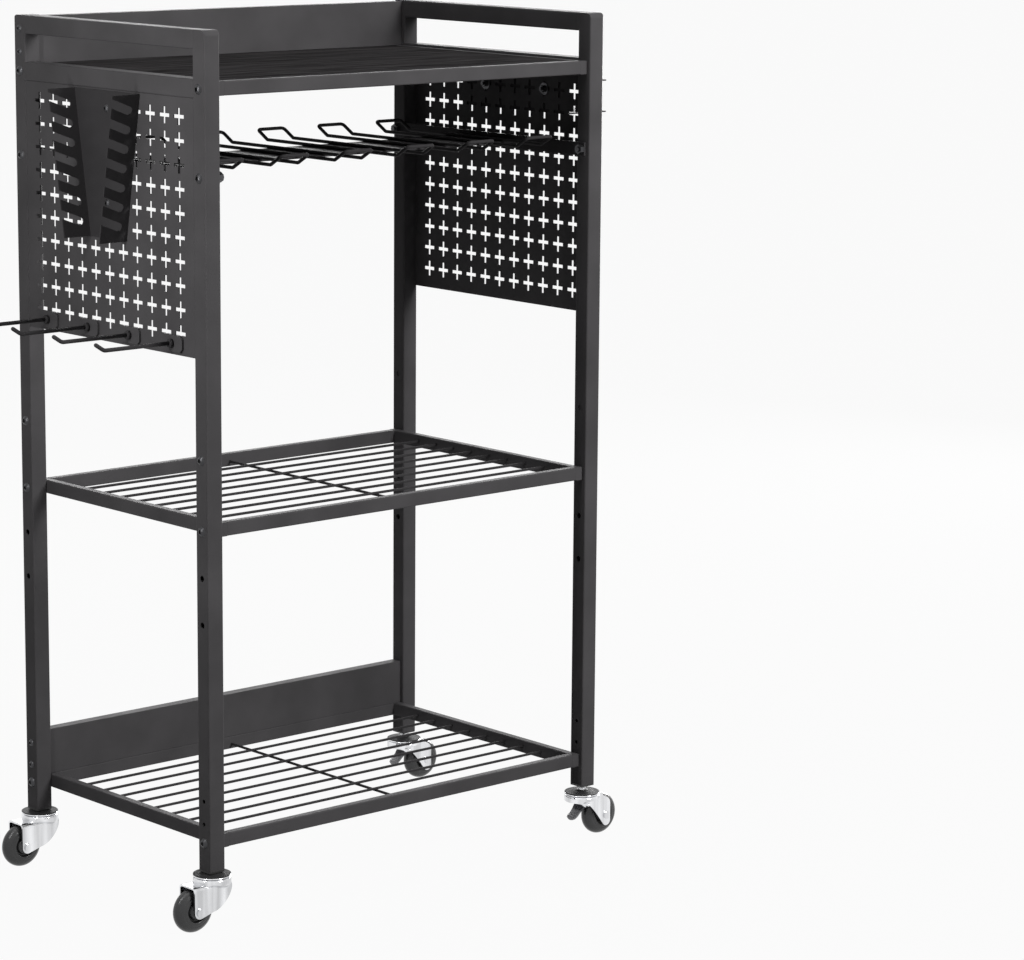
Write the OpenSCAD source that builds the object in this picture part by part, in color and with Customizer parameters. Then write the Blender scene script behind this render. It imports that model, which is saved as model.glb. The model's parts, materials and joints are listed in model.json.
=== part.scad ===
// Open-frame rolling tool cart with pegboard ends, a top tray, two wire shelves and a wire tool rack.
// Millimetres. Origin on the floor under the middle of the frame, +X to the right, +Y to the back, +Z up.

/* [Frame] */
// Width across the outer faces of the posts
frame_w = 555; // [450:1:700]
// Depth across the outer faces of the posts
frame_d = 340; // [310:1:450]
// Length of a whole post, upper and lower together
post_len = 887; // [840:1:1000]
// Length of an upper post
upper_len = 463; // [440:1:500]
// Side of the square post and handle tube
tube = 20; // [18:1:25]
// Wall of the square tube
tube_wall = 1.2; // [0.8:0.1:2]
// Radius along the edges of the square tube
tube_edge = 1.8; // [1:0.1:2.5]
// Radius of the outer top corners of the side frames
corner_r = 6; // [3:0.5:8]
// Length of the inner sleeve that joins the posts
sleeve_len = 80; // [60:1:120]
// Joint bolt above the lower end of the upper post
joint_edge = 19; // [12:1:25]

/* [Side panels] */
// Clear hand gap between the top rail and the second rail
hand_gap = 30; // [25:1:60]
// Height of the perforated panel
panel_h = 268; // [240:1:300]
// Thickness of the panel sheet
panel_t = 1.2; // [0.8:0.1:2]
// Panel face behind the outer face of the posts
panel_inset = 0.8; // [0.2:0.1:2]
// Distance between the centres of the cross-shaped holes
hole_pitch = 25; // [24:0.1:30]
// Span of a cross-shaped hole
hole_span = 17.5; // [14:0.5:19]
// Slot width of a cross-shaped hole
hole_slot = 3.8; // [3.5:0.1:6]
// First row of holes below the top edge of the panel
hole_top = 20; // [14:0.5:24]
// Least edge left below the last row and beside the last column
hole_edge = 12.5; // [11:0.5:16]

/* [Shelves] */
// Width of the rectangular shelf rail
rail_w = 10; // [8:0.5:14]
// Height of the rectangular shelf rail
rail_h = 15; // [13:0.5:20]
// Wall of the shelf rail
rail_wall = 1.2; // [0.8:0.1:1.6]
// Middle shelf bolts below the joint of the posts
mid_below_joint = 56; // [50:1:80]
// Bottom shelf bolts above the lower end of the posts
bottom_above_foot = 32; // [30:1:50]
// Distance between the spare shelf holes under the middle shelf
spare_pitch = 50; // [40:1:60]
// Diameter of the shelf wires
wire_d = 3; // [2.5:0.1:5]
// Number of long shelf wires
wire_n = 8; // [6:1:9]
// Distance between the long shelf wires
wire_pitch = 31.5; // [26:0.5:33]
// Centre of the long wires below the top of the shelf rail
wire_drop = 7; // [5:0.5:10]
// Thickness of the top board
board_t = 11; // [9:0.5:12]
// Width of a support strip under the top board
strip_w = 25; // [15:1:40]
// Thickness of a support strip
strip_t = 2; // [1.5:0.1:2.5]

/* [Rear guards] */
// Height of a rear guard plate
guard_h = 51; // [40:1:52]
// Thickness of the guard sheet
guard_t = 1.2; // [0.8:0.1:1.5]
// Depth of the folded lips of a guard
guard_lip = 13; // [10:0.5:14]
// Distance between the two bolts at each end of a guard
guard_bolt_pitch = 25; // [20:1:30]

/* [Tool rack] */
// Rack bolts below the top tray bolts
rack_below = 91; // [70:1:120]
// Thickness of the flat end bars of the rack
rack_bar_t = 3; // [2:0.5:6]
// Width of the flat carrier plate
plate_w = 100; // [70:1:140]
// Thickness of the carrier plate
plate_t = 2; // [1.5:0.1:3]
// Number of wire loops
loop_n = 6; // [3:1:6]
// Distance between the loops
loop_pitch = 87; // [70:0.5:87]
// Width of a loop between wire centres
loop_w = 37; // [25:0.5:45]
// Length of the flat run of a loop
loop_len = 228; // [180:1:230]
// Rise of the turned-up ends
loop_rise = 10.5; // [6:0.5:20]
// Length of the turned-up ends, measured level
loop_run = 18; // [10:0.5:22]
// Diameter of the rack wire
loop_d = 3.5; // [3:0.1:5]
// Bend radius of the rack wire on its centre line
loop_bend = 4; // [3:0.5:6]

/* [Wrench holder] */
// Thickness of the holder sheets
holder_t = 1.5; // [1:0.1:2]
// Height of the wrench holder
wrench_h = 156; // [140:1:160]
// Top of the wrench holder above the first row of holes
wrench_rise = 18.5; // [14:0.5:19]
// Half of the width at the top
wrench_top = 57; // [50:0.5:62]
// Half of the width at the bottom
wrench_bottom = 31; // [26:0.5:34]
// Depth of the slotted flanges
wrench_depth = 35; // [30:0.5:45]
// Number of slots in a flange
slot_n = 7; // [4:1:7]
// Distance between the slots
slot_pitch = 20.8; // [19:0.1:21]
// Width of a slot
slot_w = 9; // [7:0.1:10]
// Sheet left between a slot and the panel
slot_root = 8.5; // [6:0.5:12]
// Downward slant of the slots in degrees
slot_slant = 21; // [15:1:25]

/* [Hooks] */
// Reach of a hook from the panel
hook_reach = 88; // [60:1:100]
// Wire diameter of a hook
hook_d = 4.4; // [4:0.1:6]
// Rise of the hook tip
hook_rise = 6.5; // [4:0.5:12]
// Level length of the hook tip
hook_tip = 10; // [6:0.5:14]
// Width of a hook base
hook_base_w = 36; // [33:0.5:40]
// Height of a hook base
hook_base_h = 18; // [15:0.5:20]
// Thickness of a hook base
hook_base_t = 2.5; // [2:0.1:3]

/* [Screwdriver holder] */
// Length of the screwdriver holder
driver_w = 175; // [160:1:180]
// Height of the screwdriver holder
driver_h = 37; // [34:1:45]
// Depth of its two shelves
driver_depth = 60; // [45:1:70]
// Number of screwdriver holes
driver_n = 6; // [3:1:6]
// Hole in the upper shelf
driver_hole = 14; // [11:0.5:16]
// Hole in the lower shelf
driver_tip = 9; // [8:0.5:10]

/* [Casters] */
// Diameter of a wheel
wheel_d = 48; // [44:1:60]
// Width of a tyre
wheel_w = 18; // [16:0.5:22]
// Radius of the rounded tread
tread_r = 6.5; // [4:0.5:7]
// Radius of a wheel hub
hub_r = 15; // [12:0.5:16]
// Trail of the axle behind the swivel axis
trail = 26; // [22:0.5:30]
// Radius of the swivel head
head_r = 20.5; // [19:0.5:24]
// Sheet thickness of the fork
fork_t = 2; // [1.5:0.1:2.5]
// Depth of the skirt round the swivel head
skirt_h = 6; // [4:0.5:8]
// Diameter of the threaded stem
stem_d = 10; // [8:0.5:12]
// Length of stem that shows above the swivel cap of a braked caster
stem_show = 6; // [3:0.5:12]
// Length of stem inside the post
stem_in = 24; // [18:1:35]
// Diameter of the king pin
king_d = 8; // [6:0.5:10]
// Diameter of an axle
axle_d = 6; // [5:0.5:8]
// Length of a brake pedal below its pin
pedal_len = 20; // [16:0.5:24]
// Diameter of a brake pedal pin
pedal_pin = 4; // [3:0.5:5]
// Turn of a pressed brake pedal in degrees
pedal_turn = 22; // [10:1:25]

/* [Fasteners] */
// Diameter of the frame bolts
bolt_d = 6; // [5:0.5:7]
// Diameter of the domed frame bolt heads
bolt_head = 11; // [10:0.5:13]
// Height of the domed frame bolt heads
bolt_head_h = 3.2; // [2.5:0.1:4]
// Diameter of the guard and holder screws
screw_d = 4; // [3:0.5:4]
// Diameter of the guard and holder screw heads
screw_head = 8; // [7:0.5:9]
// Height of a nut
nut_h = 5; // [3:0.1:6]
// Diameter of the washers behind the panels
washer_d = 14; // [13:0.5:18]

/* [Hidden] */

coat = [0.16, 0.16, 0.17];
chrome = [0.82, 0.83, 0.85];
$fn = 48;
eps = 0.01;

// Clearances
hole_gap = 0.5;        // bolt hole over bolt, on the diameter
weld_gap = 0.1;        // butted rails before the weld
bend_over = 0.1;       // bend over wire, on the diameter
bend_in = 0.2;         // reach of a wire's legs into its bends
run_gap = 0.05;        // running fit, on the radius
press_gap = 0.05;      // seated round fit, on the radius
swivel_gap = 0.4;      // fork plate under the swivel cap
tyre_gap = 1.5;        // tyre under the fork crown
side_gap = 3;          // tyre beside the fork cheek
hub_gap = 0.4;         // hub boss beside the fork cheek
shoe_gap = 0.6;        // pressed brake shoe off the tyre
foot_gap = 0.4;        // swivel cap of a plain caster under the post

// Levels of the caster, from the floor up
wheel_r = wheel_d / 2;
crown_z = wheel_d + tyre_gap;
cap_h = 4.1;
cap_z = crown_z + fork_t + swivel_gap;
foot_z = cap_z + cap_h + stem_show;
plug_t = 2;
top_z = foot_z + post_len;
joint_z = top_z - upper_len;

// Places of the frame
post_x = frame_w / 2 - tube / 2;
post_y = frame_d / 2 - tube / 2;
in_x = frame_w / 2 - tube;
in_y = frame_d / 2 - tube;
rail2_top = top_z - tube - hand_gap;
panel_top = rail2_top - tube;
face_x = frame_w / 2 - panel_inset;

// Levels of the bolts
tray_z = rail2_top - tube / 2;
rack_z = tray_z - rack_below;
joint_bolt_z = joint_z + joint_edge;
mid_z = joint_z - mid_below_joint;
bottom_z = foot_z + bottom_above_foot;
spare_z = [mid_z - spare_pitch, mid_z - 2 * spare_pitch];
function guard_z(shelf_z) = shelf_z + rail_h / 2 + guard_h / 2;
function guard_bolts_z(shelf_z) = [for (s = [-1, 1]) guard_z(shelf_z) + s * guard_bolt_pitch / 2];

// Grid of the cross-shaped holes, always with a column on the middle line
half_cols = floor((in_y - hole_edge) / hole_pitch);
rows = floor((panel_h - hole_top - hole_edge) / hole_pitch) + 1;
function row_z(r) = panel_top - hole_top - r * hole_pitch;

// Places of the hung pieces, all on the hole grid
wrench_rows = [0, 4];
driver_y = -hole_pitch;
driver_top = row_z(0) + 10;
hook_step = 3 * hole_pitch;
hook_n = floor((2 * in_y - hook_base_w - hole_edge) / hook_step) + 1;
hook_z = row_z(rows - 1) - hole_span / 2 - hook_d / 2;

// Caster: the deep head of a plain one takes up the stem that shows on a braked one
function head_rise(braked) = braked ? 0 : stem_show - foot_gap;
fork_in = wheel_w / 2 + side_gap;
fork_out = fork_in + fork_t;
boss_r = axle_d / 2 + 4;
pin_x = -2;
pin_z = crown_z - 8.5;
shoe_r = sqrt(pow(trail - pin_x, 2) + pow(pin_z - wheel_r, 2)) - wheel_r - shoe_gap;
shoe_a = atan2(wheel_r - pin_z, trail - pin_x) - pedal_turn;

// Plain outlines
module rounded(w, d, r) {
    square([w - 2 * r, d], center = true);
    square([w, d - 2 * r], center = true);
    for (sx = [-1, 1], sy = [-1, 1])
        translate([sx * (w / 2 - r), sy * (d / 2 - r)]) circle(r = r);
}

module bar(len, w, d, r) {
    linear_extrude(len, center = true) rounded(w, d, r);
}

module x_cylinder(d, len) {
    rotate([0, 90, 0]) cylinder(d = d, h = len, center = true);
}

module y_cylinder(d, len) {
    rotate([90, 0, 0]) cylinder(d = d, h = len, center = true);
}

module wire(a, b, d, round_end = false) {
    v = b - a;
    translate(a) rotate([0, acos(v.z / norm(v)), atan2(v.y, v.x)]) rotate_extrude() intersection() {
        union() {
            square([d / 2, norm(v)]);
            if (round_end) translate([0, norm(v)]) circle(d = d);
        }
        square([d, norm(v) + d]);
    }
}

// Square posts, closed at the top, open at the other ends
module bolt_holes(levels) {
    for (z = levels) translate([0, 0, z]) x_cylinder(bolt_d + hole_gap, tube + 2);
}

module screw_holes(levels) {
    for (z = levels) translate([0, 0, z]) x_cylinder(screw_d + hole_gap, tube + 2);
}

module post_tube(z0, z1, closed) {
    difference() {
        translate([0, 0, (z0 + z1) / 2]) bar(z1 - z0, tube, tube, tube_edge);
        translate([0, 0, (z0 + z1) / 2 - closed])
            bar(z1 - z0 + eps, tube - 2 * tube_wall, tube - 2 * tube_wall, tube_edge / 2);
    }
}

module outer_corner(sy) {
    translate([0, sy * (tube / 2 - corner_r), top_z - corner_r]) difference() {
        translate([-tube, sy > 0 ? 0 : -2 * corner_r, 0]) cube([2 * tube, 2 * corner_r, 2 * corner_r]);
        x_cylinder(2 * corner_r, 3 * tube);
    }
}

module upper_post(sx, sy) {
    color(coat) translate([sx * post_x, sy * post_y, 0]) difference() {
        post_tube(joint_z, top_z, corner_r);
        outer_corner(sy);
        bolt_holes([tray_z, rack_z, joint_bolt_z]);
        if (sy > 0) screw_holes(guard_bolts_z(tray_z));
    }
}

module lower_post(sx, sy) {
    color(coat) translate([sx * post_x, sy * post_y, 0]) difference() {
        post_tube(foot_z + plug_t, joint_z, 0);
        bolt_holes(concat([mid_z, bottom_z], spare_z));
        screw_holes(guard_bolts_z(bottom_z));
    }
}

// Inner sleeves with a welded nut for the joint bolt
module post_connectors() {
    side = tube - 2 * tube_wall;
    color(coat) for (sx = [-1, 1], sy = [-1, 1]) translate([sx * post_x, sy * post_y, 0]) difference() {
        union() {
            difference() {
                translate([0, 0, joint_z]) bar(sleeve_len, side, side, tube_edge);
                translate([0, 0, joint_z]) bar(sleeve_len + 1, side - 2 * tube_wall, side - 2 * tube_wall, 1);
            }
            translate([sx * (side / 2 - tube_wall - nut_h / 2), 0, joint_bolt_z]) x_cylinder(bolt_d + 5, nut_h + eps);
        }
        translate([sx * side / 2, 0, joint_bolt_z]) x_cylinder(bolt_d + 2 * press_gap, 3 * nut_h);
    }
}

// Plastic plugs that close the post feet and hold the caster stems
module post_plugs() {
    side = tube - 2 * tube_wall;
    color([0.08, 0.08, 0.08]) for (sx = [-1, 1], sy = [-1, 1]) translate([sx * post_x, sy * post_y, foot_z]) difference() {
        union() {
            translate([0, 0, plug_t / 2]) bar(plug_t, tube, tube, tube_edge);
            translate([0, 0, (plug_t + stem_in + 2) / 2]) bar(plug_t + stem_in + 2, side, side, tube_edge);
        }
        translate([0, 0, -1]) cylinder(d = stem_d + 2 * press_gap, h = stem_in + 1 + press_gap);
    }
}

// Side rails of square tube and the perforated panels
module side_rail(sx, z_top) {
    color(coat) translate([sx * post_x, 0, z_top - tube / 2]) rotate([90, 0, 0]) difference() {
        bar(2 * in_y, tube, tube, tube_edge);
        bar(2 * in_y + 1, tube - 2 * tube_wall, tube - 2 * tube_wall, tube_edge / 2);
    }
}

module cross_hole() {
    square([hole_span, hole_slot], center = true);
    square([hole_slot, hole_span], center = true);
}

module pegboard(sx) {
    color(coat) translate([sx > 0 ? face_x - panel_t : -face_x, 0, 0]) rotate([90, 0, 90]) linear_extrude(panel_t) difference() {
        translate([-in_y, panel_top - panel_h]) square([2 * in_y, panel_h]);
        for (c = [-half_cols:half_cols], r = [0:rows - 1]) translate([c * hole_pitch, row_z(r)]) cross_hole();
    }
}

// Shelves: rectangular tube frames with closed side rails that take the bolts
module shelf_frame(z) {
    long = 2 * (in_x - rail_w - weld_gap);
    deep = 2 * post_y + rail_w;
    for (s = [-1, 1]) {
        translate([0, s * post_y, z]) rotate([0, 90, 0]) difference() {
            bar(long, rail_h, rail_w, 1.5);
            bar(long + 1, rail_h - 2 * rail_wall, rail_w - 2 * rail_wall, 0.6);
        }
        translate([s * (in_x - rail_w / 2), 0, z]) difference() {
            rotate([90, 0, 0]) bar(deep, rail_w, rail_h, 1.5);
            rotate([90, 0, 0]) bar(deep - 4 * rail_w, rail_w - 2 * rail_wall, rail_h - 2 * rail_wall, 0.6);
            for (sy = [-1, 1]) translate([0, sy * post_y, 0]) x_cylinder(bolt_d + hole_gap, rail_w + 1);
        }
    }
}

module top_shelf_frame() {
    strip_len = 2 * post_y - rail_w - 2 * weld_gap;
    color(coat) {
        shelf_frame(tray_z);
        for (s = [-1, 1])
            translate([s * in_x / 2 - strip_w / 2, -strip_len / 2, tray_z + rail_h / 2 - board_t - strip_t])
                cube([strip_w, strip_len, strip_t]);
    }
}

module wire_shelf_frame(z) {
    color(coat) shelf_frame(z);
}

module shelf_wires(z) {
    long = 2 * (in_x - rail_w);
    deep = 2 * post_y - rail_w;
    wire_z = z + rail_h / 2 - wire_drop;
    color(coat) {
        for (i = [0:wire_n - 1]) translate([0, (i - (wire_n - 1) / 2) * wire_pitch, wire_z]) x_cylinder(wire_d, long);
        translate([0, 0, wire_z - 0.8 * wire_d]) y_cylinder(wire_d, deep);
    }
}

module top_board() {
    board_gap = 0.5;
    w = 2 * (in_x - rail_w - board_gap);
    d = 2 * post_y - rail_w - 2 * board_gap;
    color([0.1, 0.1, 0.1]) translate([-w / 2, -d / 2, tray_z + rail_h / 2 - board_t]) cube([w, d, board_t]);
}

// Folded sheet guards between the rear posts, sitting on the rear shelf rail
module guard(shelf_z) {
    front = post_y - rail_w / 2;
    z0 = shelf_z + rail_h / 2;
    color(coat) difference() {
        union() {
            translate([-in_x, front, z0]) cube([2 * in_x, guard_t, guard_h]);
            for (z = [z0, z0 + guard_h - guard_t]) translate([-in_x, front, z]) cube([2 * in_x, guard_lip, guard_t]);
            for (x = [-in_x, in_x - guard_t]) translate([x, front, z0]) cube([guard_t, guard_lip, guard_h]);
        }
        for (z = guard_bolts_z(shelf_z)) translate([0, post_y, z]) x_cylinder(screw_d + hole_gap, frame_w);
    }
}

// Tool rack: end bars bolted to the posts, carrier plate between them, wire loops on the plate
module rack_frame() {
    deep = 2 * post_y + rail_w;
    long = 2 * (in_x - rack_bar_t - weld_gap);
    color(coat) {
        for (s = [-1, 1]) translate([s * (in_x - rack_bar_t / 2), 0, rack_z]) difference() {
            rotate([90, 0, 0]) bar(deep, rack_bar_t, rail_h, rack_bar_t / 6);
            for (sy = [-1, 1]) translate([0, sy * post_y, 0]) x_cylinder(bolt_d + hole_gap, rack_bar_t + 1);
        }
        translate([-long / 2, -plate_w / 2, rack_z - plate_t / 2]) cube([long, plate_w, plate_t]);
    }
}

// Corner of a bent wire: where it starts and ends, and its arc
function along(a, b) = (b - a) / norm(b - a);
function half_turn(p, before, after) = acos(along(p, before) * along(p, after)) / 2;
function touch(p, q, other, r) = p + along(p, q) * r / tan(half_turn(p, q, other));

module bend(p, before, after, r, d) {
    u = along(p, before);
    half = half_turn(p, before, after);
    c = p + along([0, 0, 0], u + along(p, after)) * r / sin(half);
    x = along(c, touch(p, before, after, r));
    z = cross(u, x);
    multmatrix([[x.x, -u.x, z.x, c.x], [x.y, -u.y, z.y, c.y], [x.z, -u.z, z.z, c.z], [0, 0, 0, 1]])
        rotate_extrude(angle = 180 - 2 * half) translate([r, 0]) circle(d = d);
}

// Closed loops of bent wire whose ends turn up; a bend is a little thicker, and its legs reach into it
module rack_loop() {
    z0 = rack_z + plate_t / 2 + loop_d / 2;
    side = loop_w / 2;
    flat = loop_len / 2;
    tip = flat + loop_run;
    top = z0 + loop_rise;
    far = [[-side, flat, z0], [-side, tip, top], [side, tip, top], [side, flat, z0]];
    near = [[side, -flat, z0], [side, -tip, top], [-side, -tip, top], [-side, -flat, z0]];
    line = concat(far, near);
    n = len(line);
    for (i = [0:n - 1]) {
        p = line[i];
        before = line[(i + n - 1) % n];
        after = line[(i + 1) % n];
        last = line[(i + 2) % n];
        start = touch(p, after, before, loop_bend);
        end = touch(after, p, last, loop_bend);
        into = bend_in * along(start, end);
        bend(p, before, after, loop_bend, loop_d + bend_over);
        wire(start - into, end + into, loop_d);
    }
}

module rack_loops() {
    color(coat) for (i = [0:loop_n - 1]) translate([(i - (loop_n - 1) / 2) * loop_pitch, 0, 0]) rack_loop();
}

// Wrench holder: tapered back plate with a slotted flange on each side
module wrench_flange(s) {
    z0 = row_z(0) + wrench_rise;
    tilt = atan((wrench_top - wrench_bottom) / wrench_h);
    edge = wrench_h / cos(tilt);
    seat = slot_root + slot_w / 2;
    translate([-face_x, s * wrench_top, z0]) rotate([-s * tilt, 0, 0]) rotate([90, 0, 180])
        translate([0, 0, s > 0 ? 0 : -holder_t]) linear_extrude(holder_t) difference() {
            translate([0, -edge]) square([wrench_depth, edge]);
            for (i = [0:slot_n - 1]) translate([seat, -edge / 2 - (i - (slot_n - 1) / 2) * slot_pitch]) {
                circle(d = slot_w);
                rotate(slot_slant) translate([0, -slot_w / 2]) square([2 * wrench_depth, slot_w]);
            }
        }
}

module wrench_holder() {
    z0 = row_z(0) + wrench_rise;
    color(coat) {
        difference() {
            translate([-face_x - holder_t, 0, z0]) rotate([90, 0, 90]) linear_extrude(holder_t)
                polygon([[-wrench_top, 0], [wrench_top, 0], [wrench_bottom, -wrench_h], [-wrench_bottom, -wrench_h]]);
            for (r = wrench_rows) translate([-face_x, 0, row_z(r)]) x_cylinder(screw_d + hole_gap, 4 * holder_t);
        }
        for (s = [-1, 1]) wrench_flange(s);
    }
}

// Screwdriver holder: channel with two drilled shelves
module screwdriver_holder() {
    step = driver_w / driver_n;
    color(coat) translate([face_x, driver_y - driver_w / 2, driver_top]) difference() {
        union() {
            translate([0, 0, -driver_h]) cube([holder_t, driver_w, driver_h]);
            for (z = [-holder_t, -driver_h]) translate([0, 0, z]) cube([driver_depth, driver_w, holder_t]);
        }
        for (i = [0:driver_n - 1]) translate([0.55 * driver_depth, (i + 0.5) * step, 0]) {
            translate([0, 0, -holder_t - 1]) cylinder(d = driver_hole, h = holder_t + 2);
            translate([0, 0, -driver_h - 1]) cylinder(d = driver_tip, h = holder_t + 2);
        }
        for (s = [-1, 1]) translate([0, driver_w / 2 + s * 2 * hole_pitch, row_z(0) - driver_top])
            x_cylinder(screw_d + hole_gap, 4 * holder_t);
    }
}

// Hooks: a base plate with two lugs in the bottom row of holes and a wire arm with a turned-up tip
module hook() {
    lug = hole_slot - 0.4;
    base_top = hook_z + hook_base_h / 2;
    bend = [-hook_reach, 0, hook_z];
    tip = [-hook_reach - hook_tip, 0, hook_z + hook_rise];
    translate([-hook_base_t, -hook_base_w / 2, base_top - hook_base_h]) cube([hook_base_t, hook_base_w, hook_base_h]);
    for (s = [-1, 1]) translate([-eps, s * hole_pitch / 2 - lug / 2, base_top - lug]) cube([panel_t + 3, lug, lug]);
    translate([-hook_base_t - 1.5, 0, hook_z]) x_cylinder(2 * hook_d, 5);
    wire([-hook_base_t / 2, 0, hook_z], bend, hook_d);
    translate(bend) rotate([0, 90, 0]) sphere(d = hook_d);
    wire(bend, tip, hook_d, round_end = true);
}

module hooks() {
    color(coat) for (i = [0:hook_n - 1]) translate([-face_x, (i - (hook_n - 1) / 2) * hook_step, 0]) hook();
}

// Fasteners: domed heads with a hexagon socket, shanks along X, pointing inward
module domed_bolt(shank_d, head_d, head_h, len) {
    dome_r = head_d * head_d / (8 * head_h) + head_h / 2;
    rotate([0, 90, 0]) difference() {
        rotate_extrude() intersection() {
            union() {
                translate([0, -head_h]) square([head_d / 2, head_h]);
                square([shank_d / 2, len]);
            }
            union() {
                square([head_d, len]);
                translate([0, dome_r - head_h]) circle(r = dome_r);
            }
        }
        translate([0, 0, -head_h - 1]) cylinder(d = 0.45 * head_d, h = 1 + 0.6 * head_h, $fn = 6);
    }
}

module each_post(levels, rear_only) {
    for (sx = [-1, 1], sy = rear_only ? [1] : [-1, 1], z = levels)
        translate([sx * frame_w / 2, sy * post_y, z]) rotate([0, 0, sx > 0 ? 180 : 0]) children();
}

module shelf_bolts() {
    color("dimgray") each_post([tray_z, mid_z, bottom_z], false) domed_bolt(bolt_d, bolt_head, bolt_head_h, tube + rail_w - 1);
}

module joint_bolts() {
    color("dimgray") each_post([joint_bolt_z], false) domed_bolt(bolt_d, bolt_head, bolt_head_h, 2 * tube_wall + nut_h);
}

module rack_bolts() {
    color("dimgray") each_post([rack_z], false) domed_bolt(bolt_d, bolt_head, bolt_head_h, tube + rack_bar_t + nut_h + 2);
}

module hex_nut(d, h) {
    rotate([0, 90, 0]) difference() {
        cylinder(d = 1.9 * d, h = h, $fn = 6);
        translate([0, 0, -1]) cylinder(r = d / 2 + press_gap, h = h + 2);
    }
}

module rack_nuts() {
    color("dimgray") each_post([rack_z], false) translate([tube + rack_bar_t, 0, 0]) hex_nut(bolt_d, nut_h);
}

module guard_bolts() {
    color("dimgray") each_post(concat(guard_bolts_z(tray_z), guard_bolts_z(bottom_z)), true)
        domed_bolt(screw_d, screw_head, 0.7 * bolt_head_h, tube + guard_t + nut_h);
}

module guard_nuts() {
    color("dimgray") each_post(concat(guard_bolts_z(tray_z), guard_bolts_z(bottom_z)), true)
        translate([tube + guard_t, 0, 0]) hex_nut(screw_d, nut_h - 1);
}

module each_holder_screw() {
    for (r = wrench_rows) translate([-face_x - holder_t, 0, row_z(r)]) children();
    for (s = [-1, 1]) translate([face_x + holder_t, driver_y + s * 2 * hole_pitch, row_z(0)]) rotate([0, 0, 180]) children();
}

module holder_screws() {
    color("dimgray") each_holder_screw() domed_bolt(screw_d, screw_head, 0.7 * bolt_head_h, holder_t + panel_t + nut_h + 2);
}

module holder_nuts() {
    washer_t = 1;
    color("dimgray") each_holder_screw() translate([holder_t + panel_t, 0, 0]) {
        rotate([0, 90, 0]) difference() {
            cylinder(d = washer_d, h = washer_t);
            translate([0, 0, -1]) cylinder(r = screw_d / 2 + press_gap, h = washer_t + 2);
        }
        translate([washer_t - eps, 0, 0]) hex_nut(screw_d, nut_h - 1);
    }
}

// Casters, drawn with the wheel trailing toward +X and turned round on the left side
module at_post(sx, sy) {
    translate([sx * post_x, sy * post_y, 0]) rotate([0, 0, sx > 0 ? 0 : 180]) children();
}

module caster_cap(sx, sy, braked) {
    rivet_h = 3;
    rise = head_rise(braked);
    color(chrome) at_post(sx, sy) rotate_extrude() {
        difference() {
            union() {
                translate([0, crown_z + rise - swivel_gap / 2 - rivet_h]) square([king_d / 2 + 2.5, rivet_h]);
                translate([0, crown_z + rise - swivel_gap]) square([king_d / 2, cap_z - crown_z + swivel_gap + 1]);
                translate([0, cap_z + rise]) square([head_r, cap_h / 2]);
                intersection() {
                    translate([0, cap_z + rise]) square([head_r, cap_h]);
                    translate([0, cap_z + rise + cap_h - 2 * head_r]) circle(r = 2 * head_r);
                }
                translate([0, cap_z + rise]) square([stem_d / 2, cap_h + stem_show - rise + stem_in]);
            }
            translate([-2 * head_r, 0]) square([2 * head_r, 2 * top_z]);
        }
    }
}

module fork_cheek() {
    low = 0.707 * boss_r;
    difference() {
        union() {
            polygon([[-0.68 * head_r, crown_z + fork_t], [trail + boss_r, crown_z + fork_t], [trail + boss_r, wheel_r],
                     [trail - low, wheel_r - low], [-0.68 * head_r, crown_z - skirt_h]]);
            translate([trail, wheel_r]) circle(r = boss_r);
        }
        translate([trail, wheel_r]) circle(d = axle_d + 2 * press_gap);
    }
}

module caster_fork(sx, sy, braked) {
    rise = head_rise(braked);
    color(chrome) at_post(sx, sy) difference() {
        union() {
            translate([0, 0, crown_z + rise]) cylinder(r = head_r, h = fork_t);
            difference() {
                union() {
                    translate([0, 0, crown_z - skirt_h]) cylinder(r = head_r, h = skirt_h + rise + eps);
                    translate([0, -fork_out, crown_z]) cube([trail + boss_r, 2 * fork_out, fork_t]);
                }
                translate([0, 0, crown_z - skirt_h - 1]) cylinder(r = head_r - fork_t, h = skirt_h + rise + 1);
                translate([0, -fork_in, crown_z - skirt_h - 1]) cube([2 * head_r, 2 * fork_in, skirt_h + 1]);
            }
            for (s = [-1, 1]) translate([0, s * (fork_in + fork_t / 2), 0]) rotate([90, 0, 0])
                linear_extrude(fork_t, center = true) fork_cheek();
        }
        translate([0, 0, crown_z + rise - 1]) cylinder(r = king_d / 2 + run_gap, h = fork_t + 2);
        if (braked) translate([pin_x, 0, pin_z]) y_cylinder(pedal_pin + 2 * run_gap, 4 * fork_out);
    }
}

module caster_axle(sx, sy) {
    head = 1.6;
    color(chrome) at_post(sx, sy) translate([trail, 0, wheel_r]) {
        y_cylinder(axle_d, 2 * fork_out + 2 * head);
        for (s = [-1, 1]) translate([0, s * (fork_out + head / 2), 0]) y_cylinder(axle_d + 3, head);
    }
}

module wheel_hub(sx, sy) {
    recess = 2.5;
    color("gray") at_post(sx, sy) translate([trail, 0, wheel_r]) rotate([90, 0, 0]) rotate_extrude() {
        bore = axle_d / 2 + run_gap;
        translate([bore, -fork_in + hub_gap]) square([boss_r - bore, 2 * (fork_in - hub_gap)]);
        translate([bore, -wheel_w / 2 + 2 * recess]) square([hub_r - press_gap - bore, wheel_w - 4 * recess]);
        translate([hub_r - press_gap - 2, -wheel_w / 2 + recess]) square([2, wheel_w - 2 * recess]);
    }
}

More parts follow.
